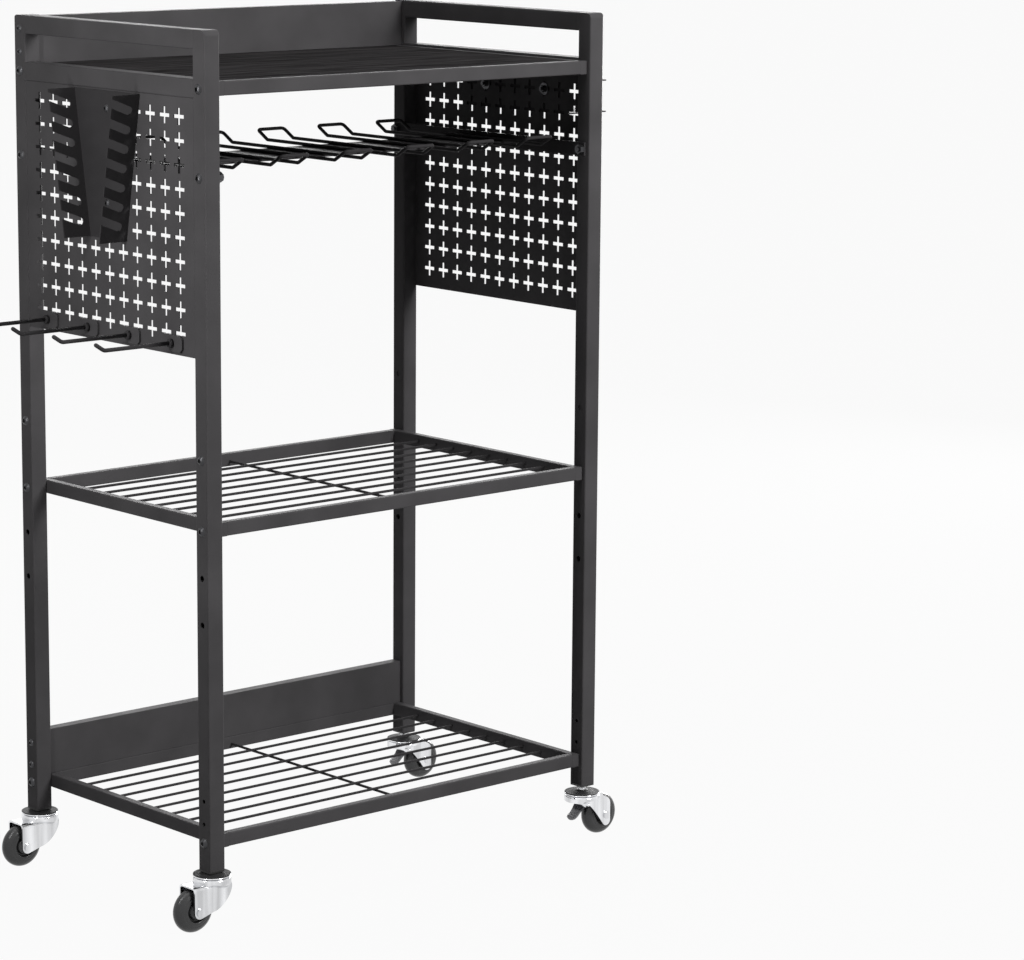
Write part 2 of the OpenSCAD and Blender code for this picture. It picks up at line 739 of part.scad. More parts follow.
module wheel_tyre(sx, sy) {
    flat = wheel_w / 2 - tread_r;
    color([0.2, 0.2, 0.2]) at_post(sx, sy) translate([trail, 0, wheel_r]) rotate([90, 0, 0]) rotate_extrude($fn = 96) {
        translate([hub_r, -wheel_w / 2]) square([wheel_r - tread_r - hub_r, wheel_w]);
        translate([hub_r, -flat]) square([wheel_r - hub_r, 2 * flat]);
        for (s = [-1, 1]) intersection() {
            translate([wheel_r - tread_r, s * flat]) circle(r = tread_r);
            translate([hub_r, -wheel_w / 2]) square([wheel_r, wheel_w]);
        }
    }
}

// Brake pedal: pin, lever plate with a foot, and a shoe that closes on the tyre when it is pressed
module brake_pedal(sx, sy) {
    wide = 2 * fork_in - 4;
    plate = 2.5;
    lean = 53;
    color(chrome) at_post(sx, sy) translate([pin_x, 0, pin_z]) rotate([90, 0, 0]) {
        cylinder(d = pedal_pin, h = 2 * fork_out + 2, center = true);
        linear_extrude(wide, center = true) {
            circle(d = pedal_pin + 4);
            rotate(-90 - lean) translate([0, -plate / 2]) square([pedal_len, plate]);
            rotate(-90 - lean) translate([pedal_len - plate / 2, -plate]) rotate(-25) square([pedal_len / 3, plate]);
            rotate(shoe_a) translate([0, -2.5]) square([shoe_r, 5]);
        }
    }
}

upper_post(-1, -1);  // upper_post_fl
upper_post(-1, 1);  // upper_post_rl
upper_post(1, -1);  // upper_post_fr
upper_post(1, 1);  // upper_post_rr
lower_post(-1, -1);  // lower_post_fl
lower_post(-1, 1);  // lower_post_rl
lower_post(1, -1);  // lower_post_fr
lower_post(1, 1);  // lower_post_rr
post_connectors();
post_plugs();
side_rail(-1, top_z);  // top_rail_left
side_rail(1, top_z);  // top_rail_right
side_rail(-1, rail2_top);  // second_rail_left
side_rail(1, rail2_top);  // second_rail_right
pegboard(-1);  // pegboard_left
pegboard(1);  // pegboard_right
top_shelf_frame();
top_board();
guard(tray_z);  // top_guard
wire_shelf_frame(mid_z);  // middle_shelf_frame
shelf_wires(mid_z);  // middle_shelf_wires
wire_shelf_frame(bottom_z);  // bottom_shelf_frame
shelf_wires(bottom_z);  // bottom_shelf_wires
guard(bottom_z);  // bottom_guard
rack_frame();
rack_loops();
wrench_holder();
screwdriver_holder();
hooks();
shelf_bolts();
joint_bolts();
rack_bolts();
rack_nuts();
guard_bolts();
guard_nuts();
holder_screws();
holder_nuts();
caster_cap(-1, -1, false);  // caster_cap_fl
caster_cap(-1, 1, false);  // caster_cap_rl
caster_cap(1, -1, true);  // caster_cap_fr
caster_cap(1, 1, true);  // caster_cap_rr
caster_fork(-1, -1, false);  // caster_fork_fl
caster_fork(-1, 1, false);  // caster_fork_rl
caster_fork(1, -1, true);  // caster_fork_fr
caster_fork(1, 1, true);  // caster_fork_rr
caster_axle(-1, -1);  // caster_axle_fl
caster_axle(-1, 1);  // caster_axle_rl
caster_axle(1, -1);  // caster_axle_fr
caster_axle(1, 1);  // caster_axle_rr
wheel_hub(-1, -1);  // wheel_hub_fl
wheel_hub(-1, 1);  // wheel_hub_rl
wheel_hub(1, -1);  // wheel_hub_fr
wheel_hub(1, 1);  // wheel_hub_rr
wheel_tyre(-1, -1);  // wheel_tyre_fl
wheel_tyre(-1, 1);  // wheel_tyre_rl
wheel_tyre(1, -1);  // wheel_tyre_fr
wheel_tyre(1, 1);  // wheel_tyre_rr
brake_pedal(1, -1);  // brake_pedal_fr
brake_pedal(1, 1);  // brake_pedal_rr
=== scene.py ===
"""Looks of an open-frame rolling tool cart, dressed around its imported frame.

Metres, +X to the right, +Y to the back, +Z up, origin on the floor under the middle of the posts.
"""

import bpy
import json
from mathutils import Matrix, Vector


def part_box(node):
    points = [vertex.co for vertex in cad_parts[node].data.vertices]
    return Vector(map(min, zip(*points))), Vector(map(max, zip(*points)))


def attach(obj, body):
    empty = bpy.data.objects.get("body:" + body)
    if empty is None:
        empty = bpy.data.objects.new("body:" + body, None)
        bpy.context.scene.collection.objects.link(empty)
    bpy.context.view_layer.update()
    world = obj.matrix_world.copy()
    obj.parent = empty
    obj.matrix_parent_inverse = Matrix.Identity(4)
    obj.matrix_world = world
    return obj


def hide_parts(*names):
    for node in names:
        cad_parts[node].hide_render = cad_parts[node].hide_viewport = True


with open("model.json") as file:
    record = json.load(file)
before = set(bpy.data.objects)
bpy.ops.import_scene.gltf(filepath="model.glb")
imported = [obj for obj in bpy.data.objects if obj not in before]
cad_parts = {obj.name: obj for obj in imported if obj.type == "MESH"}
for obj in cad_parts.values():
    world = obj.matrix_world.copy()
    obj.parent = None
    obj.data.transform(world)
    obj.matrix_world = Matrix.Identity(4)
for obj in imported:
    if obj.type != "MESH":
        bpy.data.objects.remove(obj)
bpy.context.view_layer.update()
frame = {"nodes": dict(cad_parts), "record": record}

import json
import math

import bmesh
import bpy
import numpy as np
from bpy.props import FloatProperty, FloatVectorProperty, PointerProperty
from mathutils import Matrix

bl_info = {
    "name": "Rolling Tool Cart",
    "version": (1, 0, 0),
    "blender": (4, 5, 0),
    "location": "View3D > Sidebar > Tool Cart",
    "description": "Finishes, bent wire, casters and a studio for an open-frame rolling tool cart",
    "category": "Object",
}

MM = 0.001
CORNERS = ("fl", "rl", "fr", "rr")
BRAKED = ("fr", "rr")
# Nodes that get the darker copy of the coat, which paints shade onto the wires, rack and hooks
PAINTED_SHADE_NODES = ("rack_frame", "rack_loops", "hooks", "middle_shelf_wires", "bottom_shelf_wires")
JOINTS = {joint["name"]: joint for joint in frame["record"]["behaviour"]["joints"]}
NODES = frame["nodes"]
SLOTS = {row["node"]: row["material_slot"] for row in frame["record"]["subparts"]}


# Settings

class CoatSettings(bpy.types.PropertyGroup):
    """Powder coat, board and fastener finishes."""

    coat: FloatVectorProperty(name="Coat", description="Charcoal powder coat", subtype="COLOR",
                              default=(0.086, 0.083, 0.086), min=0.0, max=1.0)
    # A darker copy of the powder coat: painted shade on the wires, rack and tool holders
    holder_coat: FloatVectorProperty(name="Painted shade coat", subtype="COLOR",
                                     description="Blacker coat of the wires, rack and tool holders",
                                     default=(0.050, 0.048, 0.050), min=0.0, max=1.0)
    coat_roughness: FloatProperty(name="Coat roughness", description="Mean roughness of the powder coat",
                                  subtype="FACTOR", default=0.42, min=0.0, max=1.0)
    board: FloatVectorProperty(name="Board", description="Black stained wood of the top board", subtype="COLOR",
                               default=(0.040, 0.038, 0.039), min=0.0, max=1.0)
    zinc: FloatVectorProperty(name="Bolts", description="Black zinc of the bolts and nuts", subtype="COLOR",
                              default=(0.055, 0.055, 0.058), min=0.0, max=1.0)
    edge: FloatProperty(name="Edge", description="Rounding of the cut sheet edges", subtype="DISTANCE",
                        unit="LENGTH", default=0.35 * MM, min=0.0, max=2 * MM)


class WireSettings(bpy.types.PropertyGroup):
    """Bent wire of the tool rack and the hooks."""

    rack_wire: FloatProperty(name="Rack wire", description="Diameter of the rack wire", unit="LENGTH",
                             default=3.9 * MM, min=MM, max=10 * MM)
    rack_bend: FloatProperty(name="Rack bend", description="Bend radius on the rack wire's centre line",
                             unit="LENGTH", default=4 * MM, min=3 * MM, max=12 * MM)
    hook_wire: FloatProperty(name="Hook wire", description="Diameter of the hook wire", unit="LENGTH",
                             default=4.4 * MM, min=MM, max=10 * MM)
    hook_bend: FloatProperty(name="Hook bend", description="Bend radius of the hook tip", unit="LENGTH",
                             default=9 * MM, min=3 * MM, max=12 * MM)


class CasterSettings(bpy.types.PropertyGroup):
    """Pressed caster parts, in millimetres of the caster's own drawing."""

    chrome: FloatVectorProperty(name="Chrome", description="Tint of the plated steel", subtype="COLOR",
                                default=(0.73, 0.735, 0.75), min=0.0, max=1.0)
    rubber: FloatVectorProperty(name="Rubber", description="Dark grey tyre", subtype="COLOR",
                                default=(0.030, 0.030, 0.031), min=0.0, max=1.0)
    hub: FloatVectorProperty(name="Hub", description="Grey plastic of the wheel hub", subtype="COLOR",
                             default=(0.11, 0.11, 0.112), min=0.0, max=1.0)
    fold: FloatProperty(name="Fold", description="Fold radius of the fork sheet in millimetres", default=3.5,
                        min=1.0, max=6.0)
    # The caps' dark steel is partly painted shadow of the post and painted dark reflection
    cap: FloatVectorProperty(name="Cap", description="Dark steel of the swivel caps", subtype="COLOR",
                             default=(0.035, 0.035, 0.036), min=0.0, max=1.0)
    pedal: FloatVectorProperty(name="Pedal", description="Grey steel of the brake pedals", subtype="COLOR",
                               default=(0.15, 0.15, 0.155), min=0.0, max=1.0)


class StageSettings(bpy.types.PropertyGroup):
    """Studio light and floor."""

    key: FloatProperty(name="Key", description="Power of the soft key light", subtype="POWER", default=58.0,
                       min=0.0, max=1000.0)
    top: FloatProperty(name="Top", description="Power of the overhead soft light", subtype="POWER", default=20.0,
                       min=0.0, max=1000.0)
    side: FloatProperty(name="Side", description="Power of the tall strip light on the left", subtype="POWER",
                        default=3.1, min=0.0, max=1000.0)
    back: FloatProperty(name="Back", description="Power of the low light behind, which glints on the upper edges",
                        subtype="POWER", default=17.0, min=0.0, max=1000.0)
    fill: FloatProperty(name="Fill", description="Power of the soft light on the right and the back", subtype="POWER",
                        default=80.0, min=0.0, max=1000.0)
    ambient: FloatProperty(name="Ambient", description="Strength of the room's fill light", default=0.03, min=0.0,
                           max=1.0)
    floor: FloatVectorProperty(name="Floor", description="Pale floor", subtype="COLOR", default=(0.22, 0.22, 0.22),
                               min=0.0, max=1.0)


class CartSettings(bpy.types.PropertyGroup):
    """All the settings of the cart."""

    finish: PointerProperty(type=CoatSettings)
    wires: PointerProperty(type=WireSettings)
    casters: PointerProperty(type=CasterSettings)
    stage: PointerProperty(type=StageSettings)


# Surfaces

def unit(vectors):
    """Vectors divided by their lengths."""
    return vectors / np.linalg.norm(vectors, axis=-1, keepdims=True)


def smooth_step(low, high, x):
    """0 below low, 1 above high, and the cubic 3t^2 - 2t^3 between them."""
    t = np.clip((x - low) / (high - low), 0.0, 1.0)
    return t * t * (3.0 - 2.0 * t)


def quads(nu, nv, wrap_u=False, wrap_v=False):
    """Corner numbers of the quads of an nu by nv grid, with either way wrapped round."""
    i = np.arange(nu if wrap_u else nu - 1)[:, None]
    j = np.arange(nv if wrap_v else nv - 1)[None, :]
    i1, j1 = (i + 1) % nu, (j + 1) % nv
    return np.stack(np.broadcast_arrays(i * nv + j, i1 * nv + j, i1 * nv + j1, i * nv + j1), axis=-1).reshape(-1, 4)


def join(*surfaces):
    """Several (points, faces) surfaces as one."""
    offsets = np.cumsum([0] + [len(points) for points, _ in surfaces[:-1]])
    points = np.concatenate([points for points, _ in surfaces])
    faces = [[corner + int(offset) for corner in face] for offset, (_, made) in zip(offsets, surfaces) for face in made]
    return points, faces


def lathe(profile, turns=64):
    """A profile of (radius, height) points turned about Z: (r cos a, r sin a, h). Points on the axis become poles."""
    profile = np.asarray(profile, float)
    angle = np.linspace(0.0, 2.0 * np.pi, turns, endpoint=False)[None, :]
    r, h = profile[:, :1], profile[:, 1:]
    points = np.stack([r * np.cos(angle), r * np.sin(angle), h + 0.0 * angle], axis=-1)
    return points.reshape(-1, 3), quads(len(profile), turns, wrap_v=True).tolist()


def filleted(points, radius, steps=8, closed=False):
    """A polyline whose corners are arcs of one radius that touch both of their legs.

    The arc's centre lies on the corner's bisector at radius / sin(half angle), and the arc runs from one touching
    point to the other by spherical interpolation. An open line keeps its two ends.
    """
    corner = ends = np.asarray(points, float)
    before, after = np.roll(corner, 1, axis=0), np.roll(corner, -1, axis=0)
    if not closed:
        corner, before, after = corner[1:-1], before[1:-1], after[1:-1]
    a, b = unit(before - corner), unit(after - corner)
    half = np.arccos(np.clip((a * b).sum(-1, keepdims=True), -1.0, 1.0)) / 2.0
    centre = corner + unit(a + b) * radius / np.sin(half)
    start, end = corner + a * radius / np.tan(half) - centre, corner + b * radius / np.tan(half) - centre
    sweep = (np.pi - 2.0 * half)[:, None, :]
    t = np.linspace(0.0, 1.0, steps)[None, :, None]
    swung = np.sin((1.0 - t) * sweep) * start[:, None] + np.sin(t * sweep) * end[:, None]
    path = (centre[:, None] + swung / np.sin(sweep)).reshape(-1, 3)
    return path if closed else np.concatenate([ends[:1], path, ends[-1:]])


def tube(path, radius, sides=16, closed=False):
    """A round wire carried along a path that never runs straight up.

    Each ring lies in the plane of the level normal T x Z and its partner N x T, at the radius given for that point.
    An open wire is closed by a face at each end.
    """
    path = np.asarray(path, float)
    radius = np.broadcast_to(np.asarray(radius, float), len(path))[:, None, None]
    ahead = np.roll(path, -1, axis=0) - np.roll(path, 1, axis=0) if closed else np.gradient(path, axis=0)
    along = unit(ahead)
    level = unit(np.cross(along, np.array([0.0, 0.0, 1.0])))
    across = np.cross(level, along)
    angle = np.linspace(0.0, 2.0 * np.pi, sides, endpoint=False)[None, :, None]
    rings = path[:, None] + radius * (np.cos(angle) * level[:, None] + np.sin(angle) * across[:, None])
    faces = quads(len(path), sides, wrap_u=closed, wrap_v=True).tolist()
    if not closed:
        faces += [list(range(sides)), list(range((len(path) - 1) * sides, len(path) * sides))[::-1]]
    return rings.reshape(-1, 3), faces


def piece(name, surface, material, body, stands_for=()):
    """A mesh object from a surface in metres: doubles merged, faces turned outward, smooth, riding on a body."""
    points, faces = surface
    mesh = bpy.data.meshes.new(name)
    mesh.from_pydata(np.asarray(points).tolist(), [], faces)
    made = bmesh.new()
    made.from_mesh(mesh)
    bmesh.ops.remove_doubles(made, verts=made.verts, dist=1e-6)
    bmesh.ops.recalc_face_normals(made, faces=made.faces)
    made.to_mesh(mesh)
    made.free()
    mesh.polygons.foreach_set("use_smooth", np.ones(len(mesh.polygons), bool))
    mesh.materials.append(material)
    obj = bpy.data.objects.new(name, mesh)
    bpy.context.scene.collection.objects.link(obj)
    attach(obj, body)
    if stands_for:
        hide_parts(*stands_for)
    return obj


def thicken(obj, thickness, edge):
    """Gives a sheet its thickness, half to each side, and rounds its cut edges."""
    solid = obj.modifiers.new("Sheet", "SOLIDIFY")
    solid.thickness = thickness
    solid.offset = 0.0
    solid.use_even_offset = True
    round_edges(obj, edge)


def round_edges(obj, width):
    """Rounds the sharp edges of a piece and evens out its shading."""
    bevel = obj.modifiers.new("Edges", "BEVEL")
    bevel.width = width
    bevel.segments = 2
    bevel.limit_method = "ANGLE"
    bevel.angle_limit = math.radians(38)
    bevel.use_clamp_overlap = True
    shade = obj.modifiers.new("Shading", "WEIGHTED_NORMAL")
    shade.keep_sharp = True


# Finishes

FINISH = "_finish"


def add(tree, kind, **sockets):
    """A new node with its input sockets set by name; underscores stand for spaces."""
    made = tree.nodes.new(kind)
    for name, value in sockets.items():
        made.inputs[name.replace("_", " ")].default_value = value
    return made


def finish(name, colour, roughness, metallic=0.0, specular=0.5):
    """A new surface material: its node tree, shader and Object coordinates."""
    material = bpy.data.materials.new(name + FINISH)
    material.use_nodes = True
    tree = material.node_tree
    shader = tree.nodes["Principled BSDF"]
    shader.inputs["Base Color"].default_value = (*colour, 1.0)
    shader.inputs["Roughness"].default_value = roughness
    shader.inputs["Metallic"].default_value = metallic
    shader.inputs["Specular IOR Level"].default_value = specular
    place = tree.nodes.new("ShaderNodeTexCoord").outputs["Object"]
    return material, tree, shader, place


def noise(tree, place, scale, detail=3.0, stretch=None):
    """Noise over Object coordinates, stretched by a scale on each axis where one is given."""
    if stretch:
        mapping = add(tree, "ShaderNodeMapping", Scale=stretch)
        tree.links.new(place, mapping.inputs["Vector"])
        place = mapping.outputs["Vector"]
    made = add(tree, "ShaderNodeTexNoise", Scale=scale, Detail=detail)
    tree.links.new(place, made.inputs["Vector"])
    return made.outputs["Fac"]


def ramp(tree, value, stops):
    """A value turned into a colour by (position, colour) stops."""
    made = tree.nodes.new("ShaderNodeValToRGB")
    for index, (position, colour) in enumerate(stops):
        element = made.color_ramp.elements[index] if index < 2 else made.color_ramp.elements.new(position)
        element.position = position
        element.color = (*colour, 1.0)
    tree.links.new(value, made.inputs["Fac"])
    return made.outputs["Color"]


def spread(tree, value, low, high):
    """Noise, which keeps near a half, spread over a range."""
    made = add(tree, "ShaderNodeMapRange", From_Min=0.3, From_Max=0.7, To_Min=low, To_Max=high)
    tree.links.new(value, made.inputs["Value"])
    return made.outputs["Result"]


def bump(tree, shader, value, strength, distance):
    """Relief of a value in metres on the shader's normal."""
    made = add(tree, "ShaderNodeBump", Strength=strength, Distance=distance)
    tree.links.new(value, made.inputs["Height"])
    tree.links.new(made.outputs["Normal"], shader.inputs["Normal"])


def shades(colour, low, high):
    """A colour made darker and paler by two factors."""
    return tuple(c * low for c in colour), tuple(min(c * high, 1.0) for c in colour)


def seen_rays(tree):
    """One for the rays that show the room itself: the camera's, and those that polished or clear pieces send on."""
    path = tree.nodes.new("ShaderNodeLightPath")
    total = path.outputs["Is Camera Ray"]
    for ray in ("Is Glossy Ray", "Is Transmission Ray"):
        larger = tree.nodes.new("ShaderNodeMath")
        larger.operation = "MAXIMUM"
        tree.links.new(total, larger.inputs[0])
        tree.links.new(path.outputs[ray], larger.inputs[1])
        total = larger.outputs[0]
    return total


def powder_coat(name, colour, rough, specular):
    """Baked powder coat: orange-peel grain under a millimetre, and a slow drift of shade and gloss."""
    material, tree, shader, place = finish(name, colour, rough, specular=specular)
    drift = noise(tree, place, 14.0)
    dark, pale = shades(colour, 0.86, 1.14)
    tree.links.new(ramp(tree, drift, [(0.3, dark), (0.7, pale)]), shader.inputs["Base Color"])
    tree.links.new(spread(tree, noise(tree, place, 40.0), rough - 0.05, rough + 0.05), shader.inputs["Roughness"])
    bump(tree, shader, noise(tree, place, 1300.0, 2.0), 0.16, 0.00012)
    return material


def black_board(settings):
    """Black stained wood: long fine grain along X, with pores and slow streaks of shade."""
    material, tree, shader, place = finish("board", settings.board, 0.6, specular=0.0)
    grain = noise(tree, place, 9.0, 6.0, stretch=(1.2, 26.0, 26.0))
    dark, pale = shades(settings.board, 0.45, 1.9)
    tree.links.new(ramp(tree, grain, [(0.35, dark), (0.68, pale)]), shader.inputs["Base Color"])
    tree.links.new(spread(tree, grain, 0.72, 0.5), shader.inputs["Roughness"])
    bump(tree, shader, noise(tree, place, 14.0, 5.0, stretch=(1.5, 40.0, 40.0)), 0.35, 0.0004)
    return material


def plated(name, colour, roughness, streak_and_reflection=0.0):
    """Plated metal: a fine drift of gloss, faint ripples, and upright streaks of tone where a share is given, partly
    pressing streaks and partly painted dark reflection.
    """
    material, tree, shader, place = finish(name, colour, roughness, metallic=1.0)
    if streak_and_reflection:
        # Upright bands of tone: partly pressing streaks, partly painted reflection of dark surroundings
        streak_and_reflection_bands = noise(tree, place, 95.0, 2.0, stretch=(1.0, 1.0, 0.06))
        dark, pale = shades(colour, 1.0 - streak_and_reflection, 1.0 + streak_and_reflection)
        tree.links.new(ramp(tree, streak_and_reflection_bands, [(0.32, dark), (0.68, pale)]), shader.inputs["Base Color"])
    gloss = spread(tree, noise(tree, place, 160.0), roughness * 0.6, roughness * 1.5)
    tree.links.new(gloss, shader.inputs["Roughness"])
    bump(tree, shader, noise(tree, place, 90.0, 1.0), 0.05, 0.0002)
    return material


def moulded(name, colour, roughness, grain):
    """Moulded plastic or rubber: fine skin grain and a slow drift of shade."""
    material, tree, shader, place = finish(name, colour, roughness)
    dark, pale = shades(colour, 0.85, 1.15)
    tree.links.new(ramp(tree, noise(tree, place, 60.0), [(0.3, dark), (0.7, pale)]), shader.inputs["Base Color"])
    gloss = spread(tree, noise(tree, place, 220.0), roughness - 0.06, roughness + 0.06)
    tree.links.new(gloss, shader.inputs["Roughness"])
    bump(tree, shader, noise(tree, place, grain, 2.0), 0.2, 0.0001)
    return material


def material(name):
    """A finish made earlier, by name; the frame's plain materials have the bare names."""
    return bpy.data.materials[name + FINISH]


def coat_node(node, finish_name):
    """Gives a frame node one finish in place of its plain one."""
    mesh = NODES[node].data
    mesh.materials.clear()
    mesh.materials.append(material(finish_name))


def softened_copy(node, finish_name, width):
    """A merged copy of a frame node, with its cut edges rounded, that shows in the node's place."""
    mesh = NODES[node].data.copy()
    made = bmesh.new()
    made.from_mesh(mesh)
    bmesh.ops.remove_doubles(made, verts=made.verts, dist=1e-5)
    made.to_mesh(mesh)
    made.free()
    mesh.materials.clear()
    mesh.materials.append(material(finish_name))
    obj = bpy.data.objects.new(node + "_sheet", mesh)
    bpy.context.scene.collection.objects.link(obj)
    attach(obj, "frame")
    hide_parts(node)
    round_edges(obj, width)


# Caster drawing: millimetres, swivel axis on Z, wheel trailing toward +X

def caster_sizes(corner):
    """Sizes of one caster in millimetres, read from the joints and the frame nodes."""
    swivel, roll = JOINTS["swivel_" + corner]["pos_m"], JOINTS["roll_" + corner]["pos_m"]
    cap_low, cap_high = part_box("caster_cap_" + corner)
    tyre_low, tyre_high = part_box("wheel_tyre_" + corner)
    return {
        "axis": swivel,
        "turn": -1.0 if swivel[0] < 0 else 1.0,
        "trail": abs(roll[0] - swivel[0]) / MM,
        "wheel_r": roll[2] / MM,
        "wheel_w": (tyre_high[1] - tyre_low[1]) / MM,
        "plate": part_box("caster_fork_" + BRAKED[0])[1][2] / MM,
        "head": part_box("caster_fork_" + corner)[1][2] / MM,
        "head_r": (cap_high[0] - cap_low[0]) / 2.0 / MM,
        "foot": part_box("post_plugs")[0][2] / MM,
    }


def caster_place(surface, sizes):
    """A caster surface in millimetres, turned half round for the left side and set under its post, in metres."""
    points, faces = surface
    points = np.asarray(points, float) * MM
    points[:, :2] *= sizes["turn"]
    points[:, 0] += sizes["axis"][0]
    points[:, 1] += sizes["axis"][1]
    return points, faces


def axle_place(surface, sizes):
    """A surface turned about Z, laid with that axis along Y through the wheel's centre."""
    points, faces = surface
    points = np.asarray(points, float)
    points = np.stack([points[:, 0] + sizes["trail"], points[:, 2], points[:, 1] + sizes["wheel_r"]], axis=-1)
    return caster_place((points, faces), sizes)


SHEET = 2.0
SHEET_EDGE = 0.35
CHEEK_GAP = 3.0
HEAD_SKIRT = 7.5
HEAD_FOLD = 2.2
STEM_FOOT = 4.4


def plain_edge(sizes):
    """Lower edge of a plain cheek, as columns of x and z.

    It bulges down from the head on a quarter of a superellipse of power 1.6, runs straight to the line that touches
    the boss's circle round the axle, and follows that circle to its far side.
    """
    trail, wheel_r, boss, power = sizes["trail"], sizes["wheel_r"], 7.0, 1.6
    start_x, start_z = -0.78 * sizes["head_r"], sizes["plate"] - 5.5
    knee_x, knee_z = 8.0, wheel_r - 2.0
    phi = np.linspace(0.0, np.pi / 2.0, 30)[:, None]
    bulge_x = knee_x - (knee_x - start_x) * np.cos(phi) ** (2.0 / power)
    bulge_z = start_z - (start_z - knee_z) * np.sin(phi) ** (2.0 / power)
    away = math.atan2(knee_z - wheel_r, knee_x - trail) % (2.0 * math.pi)
    touch = away + math.acos(boss / math.hypot(knee_z - wheel_r, knee_x - trail))
    arc = np.linspace(touch, 2.0 * np.pi, 30)[:, None]
    return (np.concatenate([bulge_x, trail + boss * np.cos(arc)]),
            np.concatenate([bulge_z, wheel_r + boss * np.sin(arc)]))


def braked_edge(sizes):
    """Lower edge of a braked cheek, as columns of x and z: a cubic from the head into a tongue round below the axle."""
    tongue = 6.0
    centre_x, centre_z, touch = sizes["trail"], sizes["wheel_r"] - 6.5, math.radians(216.0)
    start_x, start_z = -0.64 * sizes["head_r"], sizes["plate"] - 5.5
    end_x, end_z = centre_x + tongue * math.cos(touch), centre_z + tongue * math.sin(touch)
    t = np.linspace(0.0, 1.0, 40)[:, None]
    start_rise, end_rise = -0.12 * (end_x - start_x), -1.36 * (end_x - start_x)
    leg_z = ((2 * t**3 - 3 * t**2 + 1) * start_z + (t**3 - 2 * t**2 + t) * start_rise
             + (3 * t**2 - 2 * t**3) * end_z + (t**3 - t**2) * end_rise)
    arc = np.linspace(touch, 2.0 * np.pi, 24)[1:, None]
    return (np.concatenate([start_x + (end_x - start_x) * t, centre_x + tongue * np.cos(arc)]),
            np.concatenate([leg_z, centre_z + tongue * np.sin(arc)]))


def fork_sheet(sizes, fold, braked):
    """The folded fork: a U section carried along X, whose legs end on the lower edge of the cheeks.

    Across, the section goes up one leg, round a quarter circle, over the crown and down the other leg. The crown of a
    braked fork ends short of its cheeks, whose upper corners are quarters of an ellipse.
    """
    x, low = braked_edge(sizes) if braked else plain_edge(sizes)
    crown = sizes["plate"] - SHEET / 2.0
    half = sizes["wheel_w"] / 2.0 + CHEEK_GAP + SHEET / 2.0
    crown_end, corner_drop = 0.82 * sizes["trail"] if braked else x.max(), 10.0
    under = x[:, 0] <= crown_end
    up = np.linspace(0.0, 1.0, 12)[None, :]
    turn = np.linspace(0.0, np.pi / 2.0, 8)[None, 1:]
    over = np.linspace(-1.0, 1.0, 14)[None, 1:-1]
    leg_z = (low + up * (crown - fold - low))[under]
    bend_z = (crown - fold + fold * np.sin(turn) + 0.0 * x)[under]
    y = np.concatenate([0.0 * up - half, -half + fold - fold * np.cos(turn), over * (half - fold),
                        half - fold + fold * np.cos(turn[:, ::-1]), 0.0 * up + half], axis=1)
    flat_z = crown + 0.0 * over + 0.0 * bend_z[:, :1]
    z = np.concatenate([leg_z, bend_z, flat_z, bend_z[:, ::-1], leg_z[:, ::-1]], axis=1)
    bent = np.stack([x[under] + 0.0 * z, y + 0.0 * z, z], axis=-1)
    surfaces = [(bent.reshape(-1, 3), quads(*z.shape).tolist())]
    if braked:
        last = np.flatnonzero(under)[-1:]
        past = np.concatenate([last, np.flatnonzero(~under)])
        reach = (x[past] - x[last]) / (x.max() - x[last])
        high = crown - fold - corner_drop * (1.0 - np.sqrt(1.0 - reach**2))
        tail_z = low[past] + up * (high - low[past])
        for side in (-half, half):
            tail = np.stack([x[past] + 0.0 * tail_z, side + 0.0 * tail_z, tail_z], axis=-1)
            surfaces.append((tail.reshape(-1, 3), quads(*tail_z.shape).tolist()))
    return join(*surfaces)


def head_sheet(sizes, fold):
    """The swivel head: a disc with a rounded rim and a wall that is deep at the front and shallow over the wheel.

    Coming down, the wall draws in from a circle to the width of the cheeks by a cubic step of its depth.
    """
    top, rim = sizes["head"] - SHEET / 2.0 + 0.15, sizes["head_r"] - SHEET / 2.0
    side = sizes["wheel_w"] / 2.0 + CHEEK_GAP + SHEET / 2.0 + 0.3
    angle = np.linspace(0.0, 2.0 * np.pi, 96, endpoint=False)[None, :]
    low = sizes["plate"] - SHEET / 2.0 - (HEAD_SKIRT - SHEET / 2.0) * smooth_step(-0.7, 0.4, -np.cos(angle))
    flat = np.linspace(5.2, rim - fold, 5)[:, None]
    turn = np.linspace(0.0, np.pi / 2.0, 8)[1:, None]
    down = np.linspace(0.0, 1.0, 10)[1:, None]
    r = np.concatenate([flat, rim - fold + fold * np.sin(turn), 0.0 * down + rim])
    z = np.concatenate([top + 0.0 * flat + 0.0 * angle, top - fold + fold * np.cos(turn) + 0.0 * angle,
                        top - fold - down * np.maximum(top - fold - low, 0.4)])
    x, y = r * np.cos(angle), r * np.sin(angle)
    drawn = np.concatenate([0.0 * flat, 0.0 * turn, smooth_step(0.2, 1.0, down)])
    y = y + drawn * (np.clip(y, -side, side) - y)
    points = np.stack([x, y, z], axis=-1)
    return points.reshape(-1, 3), quads(len(r), angle.shape[1], wrap_v=True).tolist()


def weld_bead(bottom, top):
    """A dressed bead up the middle of Z: a column of radius r (1 - t^10) over its height, pressed flat along X."""
    t = np.linspace(-1.0, 1.0, 41)
    r = 2.4 * MM * (1.0 - t**10)
    points, faces = lathe(np.stack([r, (bottom + top) / 2.0 + (top - bottom) / 2.0 * t], axis=-1), 24)
    return points * [0.06, 1.0, 1.0], faces


